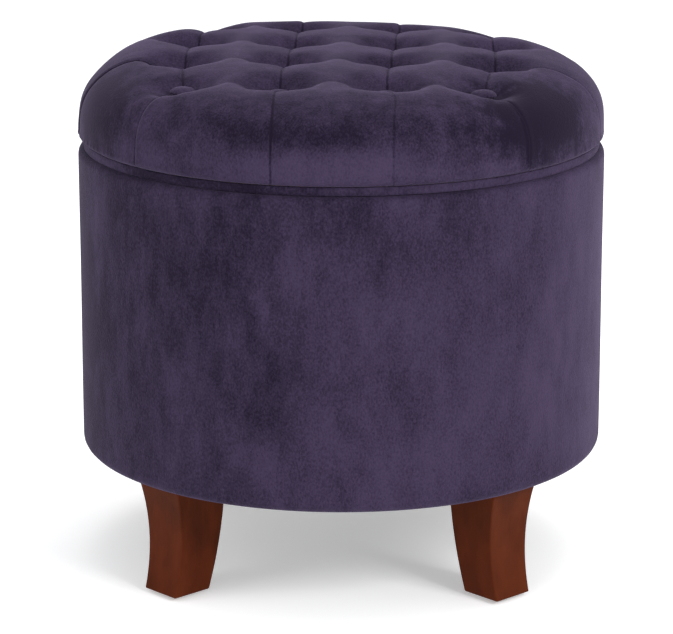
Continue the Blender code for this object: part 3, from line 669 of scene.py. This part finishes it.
# The outline again as a close chain of points, with its distance from the middle and its normals.
chain = np.array(outline)
lengths = np.concatenate([[0.0], np.cumsum(np.hypot(*np.diff(chain, axis=0).T))])
fine = np.linspace(0.0, lengths[-1], 1400)
chain = np.stack([np.interp(fine, lengths, chain[:, 0]), np.interp(fine, lengths, chain[:, 1])], 1)
slope = np.gradient(chain, axis=0)
slope /= np.maximum(np.hypot(*slope.T), 1e-9)[:, None]
from_crown = fine[-1] - fine


def on_outline(found):
    """For each point, the nearest place of the outline: its index."""
    radius = np.hypot(found[:, 0], found[:, 1])
    nearest = np.zeros(len(found), int)
    for start in range(0, len(found), 4000):
        part = slice(start, start + 4000)
        sideways = radius[part, None] - chain[None, :, 0]
        upwards = found[part, 2, None] - chain[None, :, 1]
        nearest[part] = (sideways ** 2 + upwards ** 2).argmin(1)
    return nearest


def smooth_step(value, low, high):
    """0 up to low, 1 from high on, and smooth in between."""
    share = np.clip((value - low) / (high - low), 0, 1)
    return share * share * (3 - 2 * share)


# In what follows u and v are the places along the tufts' rows and columns, with 0 in the middle,
# and reach is where the outer tufts are.
reach = 1.5 * spacing
pleat_bow = 0.0105
bow_run = 0.055


def bowed(u, v):
    """The right one of the two front pleats drifts to the side on its way down."""
    return u - pleat_bow * smooth_step(-v, reach, reach + bow_run) * (u > 0)


def nearest_line(along, beside):
    """Signed distance from the nearest of the four lines of tufts, and that line's place. The outer
    lines bend in to the corner tufts."""
    line = np.clip(np.round(along / spacing - 0.5) + 0.5, -1.5, 1.5) * spacing
    bend = corner_pull * np.clip((np.abs(beside) - spacing / 2) / (spacing - corner_pull), 0, 1)
    line = line - np.sign(line) * bend * (np.abs(line) > spacing)
    return along - line, line


def near_crown(height, start, end):
    """0 lower than start under the cushion's top, 1 higher than end under it."""
    return smooth_step(height, crown - start, crown - end)


def cusp(away, width):
    """1 on a line, and sharply less on both sides of it."""
    return np.exp(-np.abs(away) / width)


def pleat_lines(found):
    """The twelve pleats outside the tufts: for each point the signed distance across the nearest
    one, how far out it is from that pleat's tuft, and a number for the pleat. The front pleats
    are -1 and -2, and those from the corner tufts are 7 and up."""
    u, v = found[:, 0], found[:, 1]
    off_u, line_u = nearest_line(bowed(u, v), v)
    off_v, line_v = nearest_line(v, u)
    off_u = np.where(np.abs(line_u) > spacing, 1.0, off_u * -np.sign(v))
    off_v = np.where(np.abs(line_v) > spacing, 1.0, off_v * np.sign(u))
    ends = np.abs(v) > np.abs(u)
    across = np.where(ends, off_u, off_v)
    out = np.where(ends, np.abs(v), np.abs(u)) - reach
    pleat = np.where(ends, np.sign(v) * (1 + (line_u > 0)), 3 * np.sign(u) * (1 + (line_v > 0)))
    corner = np.minimum(np.abs(u), np.abs(v)) > spacing * 1.12
    skew = (np.abs(u) - np.abs(v)) / math.sqrt(2)
    across = np.where(corner, skew * np.sign(u) * -np.sign(v), across)
    corner_reach = (reach - corner_pull) * math.sqrt(2)
    out = np.where(corner, (np.abs(u) + np.abs(v)) / math.sqrt(2) - corner_reach, out)
    pleat = np.where(corner, 10 + np.sign(u) + 2 * np.sign(v), pleat)
    return across, out, pleat


# The even mesh is laid on the outline, then folds, dimples, pleats and flaps are pressed in. Its
# rear corners are stuffed a little fuller, the left one more, and its front is a little flatter.
fold_depth = 0.0038
held_in = 0.0012
dimple_floor = 0.0095
dimple_slope = 0.0140
pleat_shallow = 0.0009
pleat_deeper = 0.0028
pleat_fades_over = 0.022
flap_rise = 0.0007
wide_flap_rise = 0.0009
flap_from_pleat = 0.0042
flap_width = 0.0026
fuller_left = 0.0030
fuller_all = 0.0042
flatter_front = 0.0036
cushion_mesh = applied(blank, "cushion")
bpy.data.objects.remove(blank)
rest = places(cushion_mesh)
index = on_outline(rest)
radius = np.maximum(np.hypot(rest[:, 0], rest[:, 1]), 1e-6)
outwards = rest[:, :2] / radius[:, None]
rest[:, :2] = outwards * chain[index, 0][:, None]
rest[:, 2] = chain[index, 1]
normal = np.stack([slope[index, 1], -slope[index, 0]], 1)
lift = np.column_stack([outwards * normal[:, :1], normal[:, 1]])
under = chain[index, 1] < widest_level
u, v = rest[:, 0], rest[:, 1]
off_u, line_u = nearest_line(bowed(u, v), v)
off_v, line_v = nearest_line(v, u)
end_u = reach - corner_pull * (np.abs(line_v) > spacing)
end_v = reach - corner_pull * (np.abs(line_u) > spacing)
field_u = 1 - smooth_step(np.abs(u), end_u - 0.004, end_u + 0.020)
field_v = 1 - smooth_step(np.abs(v), end_v - 0.004, end_v + 0.020)


def valley(away):
    """A fold's depth as a share: sharp at its bottom and rounding over into the pillows."""
    wide = 1 - np.abs(np.sin(np.pi * np.clip(np.abs(away) / spacing, 0, 0.5)))
    return 0.82 * cusp(away, 0.0070) + 0.18 * wide ** 2


down_u = valley(off_u) * field_v
down_v = valley(off_v) * field_u * (0.30 + 0.70 * cusp(off_u, 0.020))
folded = fold_depth * (1 - (1 - down_u) * (1 - down_v))
tufts = [Matrix.Rotation(-tuft_turn, 3, "Z") @ middle for middle in button_middles]
tuft_away = np.full(len(rest), 1.0)
dimpled = np.zeros(len(rest))
for tuft in tufts:
    tuft_away = np.minimum(tuft_away, np.hypot(u - tuft.x, v - tuft.y))
    away = np.hypot((u - tuft.x) * 0.84, (v - tuft.y) * 1.10)
    tuft_radius = tuft.xy.length
    top_here = np.interp(tuft_radius, chain[700:, 0][::-1], chain[700:, 1][::-1])
    deep = top_here - seat_level - fold_depth * 0.55
    dimpled = np.maximum(dimpled, deep * np.exp(-(np.maximum(away - dimple_floor, 0) / dimple_slope) ** 2))
across, out, pleat = pleat_lines(rest)
on_side = smooth_step(out, -0.004, 0.012)
past_shoulder = np.maximum(from_crown[index] - 0.15, 0)
# A pleat laps to one side: steep under its flap, gentle on the other side of the line.
flank = np.where(np.sin(pleat * 2.4 + 1.1) > 0, 1.0, -1.0)
flank = np.where((pleat == -1), 1.0, flank)
steep = np.where(across * flank < 0, 0.0032, 0.0095)
faint = (pleat > 6) | (pleat == -2)
pleat_depth = pleat_shallow + pleat_deeper * np.exp(-past_shoulder / pleat_fades_over)
pleat_depth *= np.where(faint, 0.6, 1.0)
fading = smooth_step(rest[:, 2], cover_low.z + 0.001, cover_low.z + 0.016) * 0.55 + 0.45
tucked = pleat_depth * np.exp(-np.abs(across) / steep) * on_side * fading
low_down = 1 - smooth_step(rest[:, 2], widest_level + 0.012, widest_level + 0.030)
flap_height = flap_rise + wide_flap_rise * low_down * (pleat == -1)
flap = flap_height * np.exp(-((across * flank + flap_from_pleat) / flap_width) ** 2) * on_side
top_share = near_crown(rest[:, 2], 0.0285, 0.0125)[:, None]
direction = lift * (1 - top_share) + np.array([0.0, 0.0, 1.0]) * top_share
direction /= np.linalg.norm(direction, axis=1)[:, None]
shaped = rest - direction * (folded * near_crown(rest[:, 2], 0.0395, 0.0195))[:, None]
shaped = shaped - direction * (dimpled * near_crown(rest[:, 2], 0.0445, 0.0285))[:, None]
shaped = shaped - lift * ((tucked - flap + held_in) * ~under)[:, None]
shaped[under] = rest[under]
stuffing = fuller_all * np.abs(u / radius) - fuller_left * u / radius
stuffing *= np.exp(-((radius - 0.186) / 0.032) ** 2) * smooth_step(v, -0.16, 0.06)
stuffing -= flatter_front * np.exp(-((radius - 0.160) / 0.038) ** 2) * smooth_step(-v, 0.02, 0.12)
shaped[:, 2] += stuffing * top_share[:, 0] * smooth_step(tuft_away, 0.012, 0.034)
put(cushion_mesh, shaped)

cushion = bpy.data.objects.new("tufted_cushion", cushion_mesh)
bpy.context.scene.collection.objects.link(cushion)
hold = cushion.vertex_groups.new(name="stitched")
grip = np.zeros(len(rest))
grip = np.maximum(grip, 1.0 * (tuft_away < 0.0115))
grip = np.maximum(grip, 1.0 * (rest[:, 2] < widest_level - 0.001))
on_the_top = rest[:, 2] > crown - 0.0345
grip = np.maximum(grip, 0.35 * cusp(off_u, 0.003) * field_v * on_the_top)
grip = np.maximum(grip, 0.35 * cusp(off_v, 0.003) * field_u * on_the_top)
grip = np.maximum(grip, 0.30 * cusp(across, 0.003) * on_side)
for share in range(1, 21):
    held = np.nonzero((np.round(grip * 20) == share))[0]
    if len(held):
        hold.add(held.tolist(), share / 20, "REPLACE")
cloth = cushion.modifiers.new("velvet_over_foam", "CLOTH")
cloth.settings.quality = 6
cloth.settings.mass = 0.3
cloth.settings.tension_stiffness = 12
cloth.settings.compression_stiffness = 6
cloth.settings.shear_stiffness = 4
cloth.settings.bending_stiffness = 0.6
cloth.settings.use_pressure = True
cloth.settings.uniform_pressure_force = 4.0
cloth.settings.vertex_group_mass = "stitched"
cloth.settings.pin_stiffness = 1.0
cloth.settings.effector_weights.gravity = 0.0
cloth.collision_settings.use_collision = False
cloth.point_cache.frame_start = 1
cloth.point_cache.frame_end = 20
for step in range(1, 21):
    bpy.context.scene.frame_set(step)
blown = places(applied(cushion, "cushion_blown"))
cushion.modifiers.clear()
cushion.vertex_groups.clear()
bpy.context.scene.frame_set(1)
moved = blown - shaped
far = np.maximum(np.linalg.norm(moved, axis=1), 1e-9)
cap = 0.005
shaped = shaped + moved * (cap / (cap + far))[:, None]
put(cushion_mesh, shaped)

# Finer creases are pressed into the finer mesh: along folds and pleats, in the gathers round each
# button, in puckers above the lower edge, and as slack down the side.
rounded = cushion.modifiers.new("rounded", "SUBSURF")
rounded.levels = 1
rounded.render_levels = 1
fine_mesh = applied(cushion, "tufted_cushion")
cushion.modifiers.clear()
cushion.data = fine_mesh

shaped = places(fine_mesh)
u, v = shaped[:, 0], shaped[:, 1]
off_u, line_u = nearest_line(bowed(u, v), v)
off_v, line_v = nearest_line(v, u)
end_u = reach - corner_pull * (np.abs(line_v) > spacing)
end_v = reach - corner_pull * (np.abs(line_u) > spacing)
field_u = (1 - smooth_step(np.abs(u), end_u - 0.002, end_u + 0.006)) * (0.25 + 0.75 * cusp(off_u, 0.022))
field_v = 1 - smooth_step(np.abs(v), end_v - 0.002, end_v + 0.006)
on_top = near_crown(shaped[:, 2], 0.0345, 0.0225)
crease_width = 0.0013
crease = np.maximum(cusp(off_u, crease_width) * field_v, cusp(off_v, crease_width) * field_u) * on_top
across, out, pleat = pleat_lines(shaped)
faint = (pleat > 6) | (pleat == -2)
pleated = cusp(across, 0.0012) * smooth_step(out, -0.002, 0.006) * np.where(faint, 0.4, 1.0)
pleated *= shaped[:, 2] > widest_level - 0.004
gather_depth = 0.00055
gathered = np.zeros(len(shaped))
for number, tuft in enumerate(tufts):
    away = np.hypot(u - tuft.x, v - tuft.y)
    around = np.arctan2(v - tuft.y, u - tuft.x)
    ring = smooth_step(away, 0.009, 0.013) * (1 - smooth_step(away, 0.016, 0.034))
    waves = np.cos(around * 11 + number * 1.9) * 0.6 + np.cos(around * 7 - number * 2.7) * 0.4
    gathered += gather_depth * ring * waves * on_top
near_edge = 1 - smooth_step(shaped[:, 2], widest_level + 0.002, widest_level + 0.020)
angle = np.arctan2(v, u)
puckers = np.array([noise.noise(Vector((math.cos(around) * 16, math.sin(around) * 16, height * 14)))
                    for around, height in zip(angle, shaped[:, 2])])
slack = np.array([noise.noise(Vector((x * 15, y * 15, z * 22))) for x, y, z in shaped])
side = 1 - near_crown(shaped[:, 2], 0.0295, 0.0125)
normals = np.zeros(len(shaped) * 3, np.float32)
fine_mesh.vertices.foreach_get("normal", normals)
normals = normals.reshape(-1, 3)
inward = 0.0010 * crease + 0.0011 * pleated + gathered
inward += 0.0005 * puckers * near_edge + 0.0009 * slack * side
inward *= shaped[:, 2] > cover_low.z + 0.004
shaped = shaped - normals * inward[:, None]
shaped[:, 2] = np.minimum(shaped[:, 2], crown + 0.0015)
turn = np.array(Matrix.Rotation(tuft_turn, 3, "Z"))
put(fine_mesh, shaped @ turn.T)

# Its underside is opened, and the edge is drawn in under the lip, up beside the lid board and in
# over the top of it, so that the board has its own room.
hollow = bmesh.new()
hollow.from_mesh(fine_mesh)
inside = [point for point in hollow.verts
          if point.co.z < cover_low.z + 0.003 and point.co.xy.length < board_high.x + 0.0022]
bmesh.ops.delete(hollow, geom=inside, context="VERTS")
loop = [edge for edge in hollow.edges if edge.is_boundary]
lip_level = cover_low.z + 0.0001
beside_board = board_high.x + 0.0005
over_board = board_high.z + 0.0004
for loop_radius, loop_level in ((board_high.x + 0.0016, lip_level), (beside_board, lip_level),
                                (beside_board, over_board), (board_high.x - 0.03, over_board)):
    drawn = bmesh.ops.extrude_edge_only(hollow, edges=loop)["geom"]
    loop = [part for part in drawn if isinstance(part, bmesh.types.BMEdge) and part.is_boundary]
    for point in {point for edge in loop for point in edge.verts}:
        point.co.xy *= loop_radius / point.co.xy.length
        point.co.z = loop_level
bmesh.ops.holes_fill(hollow, edges=loop, sides=0)
bmesh.ops.triangulate(hollow, faces=[face for face in hollow.faces if len(face.verts) > 4])
bmesh.ops.recalc_face_normals(hollow, faces=hollow.faces)
hollow.to_mesh(fine_mesh)
hollow.free()
fine_mesh.shade_smooth()


def fold_shade_lines(shade, where):
    """1 along the bottom of each fold and pleat, in the tufts' own directions. The velvet is darkened
    along these lines as painted shade, and bumped there.
    """
    laid = shade.node("ShaderNodeVectorRotate", {"rotation_type": "Z_AXIS"},
                      {"Vector": where, "Angle": -tuft_turn})
    wobble = (shade.grain(where, 0.02) - 0.5) * 0.0012
    u = shade.node("ShaderNodeSeparateXYZ", {}, {0: laid}, 0) + wobble
    v = shade.node("ShaderNodeSeparateXYZ", {}, {0: laid}, 1) + wobble
    drift = (v * -1).between(reach, reach + bow_run) * u.above(0.0) * pleat_bow
    u = u - drift
    far_u = shade.maths("ABSOLUTE", u)
    far_v = shade.maths("ABSOLUTE", v)
    bend_u = ((far_v - spacing / 2) / (spacing - corner_pull)).limited() * far_u.above(spacing) * corner_pull
    bend_v = ((far_u - spacing / 2) / (spacing - corner_pull)).limited() * far_v.above(spacing) * corner_pull
    off_u = shade.maths("PINGPONG", (far_u + bend_u) / spacing - 0.5, 0.5) * spacing
    off_v = shade.maths("PINGPONG", (far_v + bend_v) / spacing - 0.5, 0.5) * spacing
    in_u = 1 - far_u.between(reach + 0.002, reach + 0.003)
    in_v = 1 - far_v.between(reach + 0.002, reach + 0.003)
    mid_u = 1 - far_u.between(spacing - 0.001, spacing + 0.001)
    mid_v = 1 - far_v.between(spacing - 0.001, spacing + 0.001)
    thin_u = 1 - off_u.between(0.0002, 0.0016)
    thin_v = 1 - off_v.between(0.0002, 0.0016)
    columns = thin_u * shade.maths("MAXIMUM", in_u * in_v, mid_u) * 0.85
    columns = columns * (1 - (v * -1).above(reach + 0.01) * u.above(0.0) * 0.5)
    near_tuft = 1 - off_u.between(0.012, 0.034) * (1 - far_u.above(reach))
    rows = thin_v * shade.maths("MAXIMUM", in_u * in_v, mid_v) * near_tuft
    skew = shade.maths("ABSOLUTE", far_u - far_v)
    corners = (1 - skew.between(0.0004, 0.0022)) * (1 - in_u) * (1 - in_v) * 0.45
    return shade.maths("MAXIMUM", shade.maths("MAXIMUM", columns, rows), corners)


# The dark patch on the right shoulder is the pile lying the other way; the dark patch on the left is painted
# shade, on the side away from the key light; the others are patches of the pile.
cushion_velvet = velvet("velvet_cushion", 1.6,
                        [((0.180, -0.15, 0.440), (0.085, 0.09, 0.046), -0.60),
                         ((-0.02, -0.235, 0.410), (0.13, 0.05, 0.026), 0.30),
                         ((-0.17, -0.16, 0.412), (0.06, 0.08, 0.014), 0.14),
                         ((-0.205, -0.08, 0.435), (0.07, 0.12, 0.045), -0.36),
                         ((0.12, -0.20, 0.402), (0.07, 0.08, 0.012), 0.14),
                         ((-0.02, -0.215, 0.446), (0.20, 0.07, 0.028), -0.15)], fold_shade=fold_shade_lines)
fine_mesh.materials.clear()
fine_mesh.materials.append(cushion_velvet)
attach(cushion, "lid")
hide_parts("lid_cover", "lid_foam")


# Tufting buttons: sixteen metal button shells covered in the same velvet, the cloth gathered
# over the edge of the shell, each pulled down by the twine tied to its eye.
button_velvet = velvet("velvet_buttons", 1.0, [])
for name in button_names:
    low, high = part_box(name)
    middle = (low + high) / 2
    button_radius = (high.x - low.x) / 2
    dome_base = high.z - button_height
    dome = section([(0, dome_base, 0), (button_radius - 0.002, dome_base, 0),
                    (button_radius, dome_base + 0.0018, 0.0010),
                    (button_radius - 0.0018, dome_base + 0.0042, 0.0016),
                    (button_radius * 0.55, high.z - 0.0006, 0.0030), (0, high.z, 0)], 0.0022)
    turned(dome, 36)
    phase = button_names.index(name) * 0.8
    for point in dome.verts:
        far = point.co.xy.length / button_radius
        around = math.atan2(point.co.y, point.co.x)
        gathers = math.cos(around * 12 + phase) * max(0.0, far - 0.45) * 0.00045
        point.co.z += gathers
        point.co.xy *= 1 + 0.02 * math.cos(around * 12 + phase) * max(0.0, far - 0.6)
    bmesh.ops.translate(dome, verts=dome.verts, vec=(middle.x, middle.y, 0))
    piece("velvet_%s" % name, dome, button_velvet, "lid", [name])


# Tufting twine: waxed cotton cord run from button to button under the lid board, pale and
# tightly twisted.
twine, twine_shader, shade, where = finish_of("twine_cotton", 0.8, 0.3)
twist = shade.node("ShaderNodeTexWave", {"wave_type": "BANDS", "bands_direction": "DIAGONAL"},
                   {"Vector": where, "Scale": 260.0, "Distortion": 2.0})
lay_on(shade, twine_shader, Base_Color=twist.choose((0.40, 0.33, 0.23, 1), (0.68, 0.61, 0.48, 1)),
       Roughness=0.7 + twist * 0.2, Normal=shade.bump(twist, 0.0003))
give(twine, "tufting_twine")
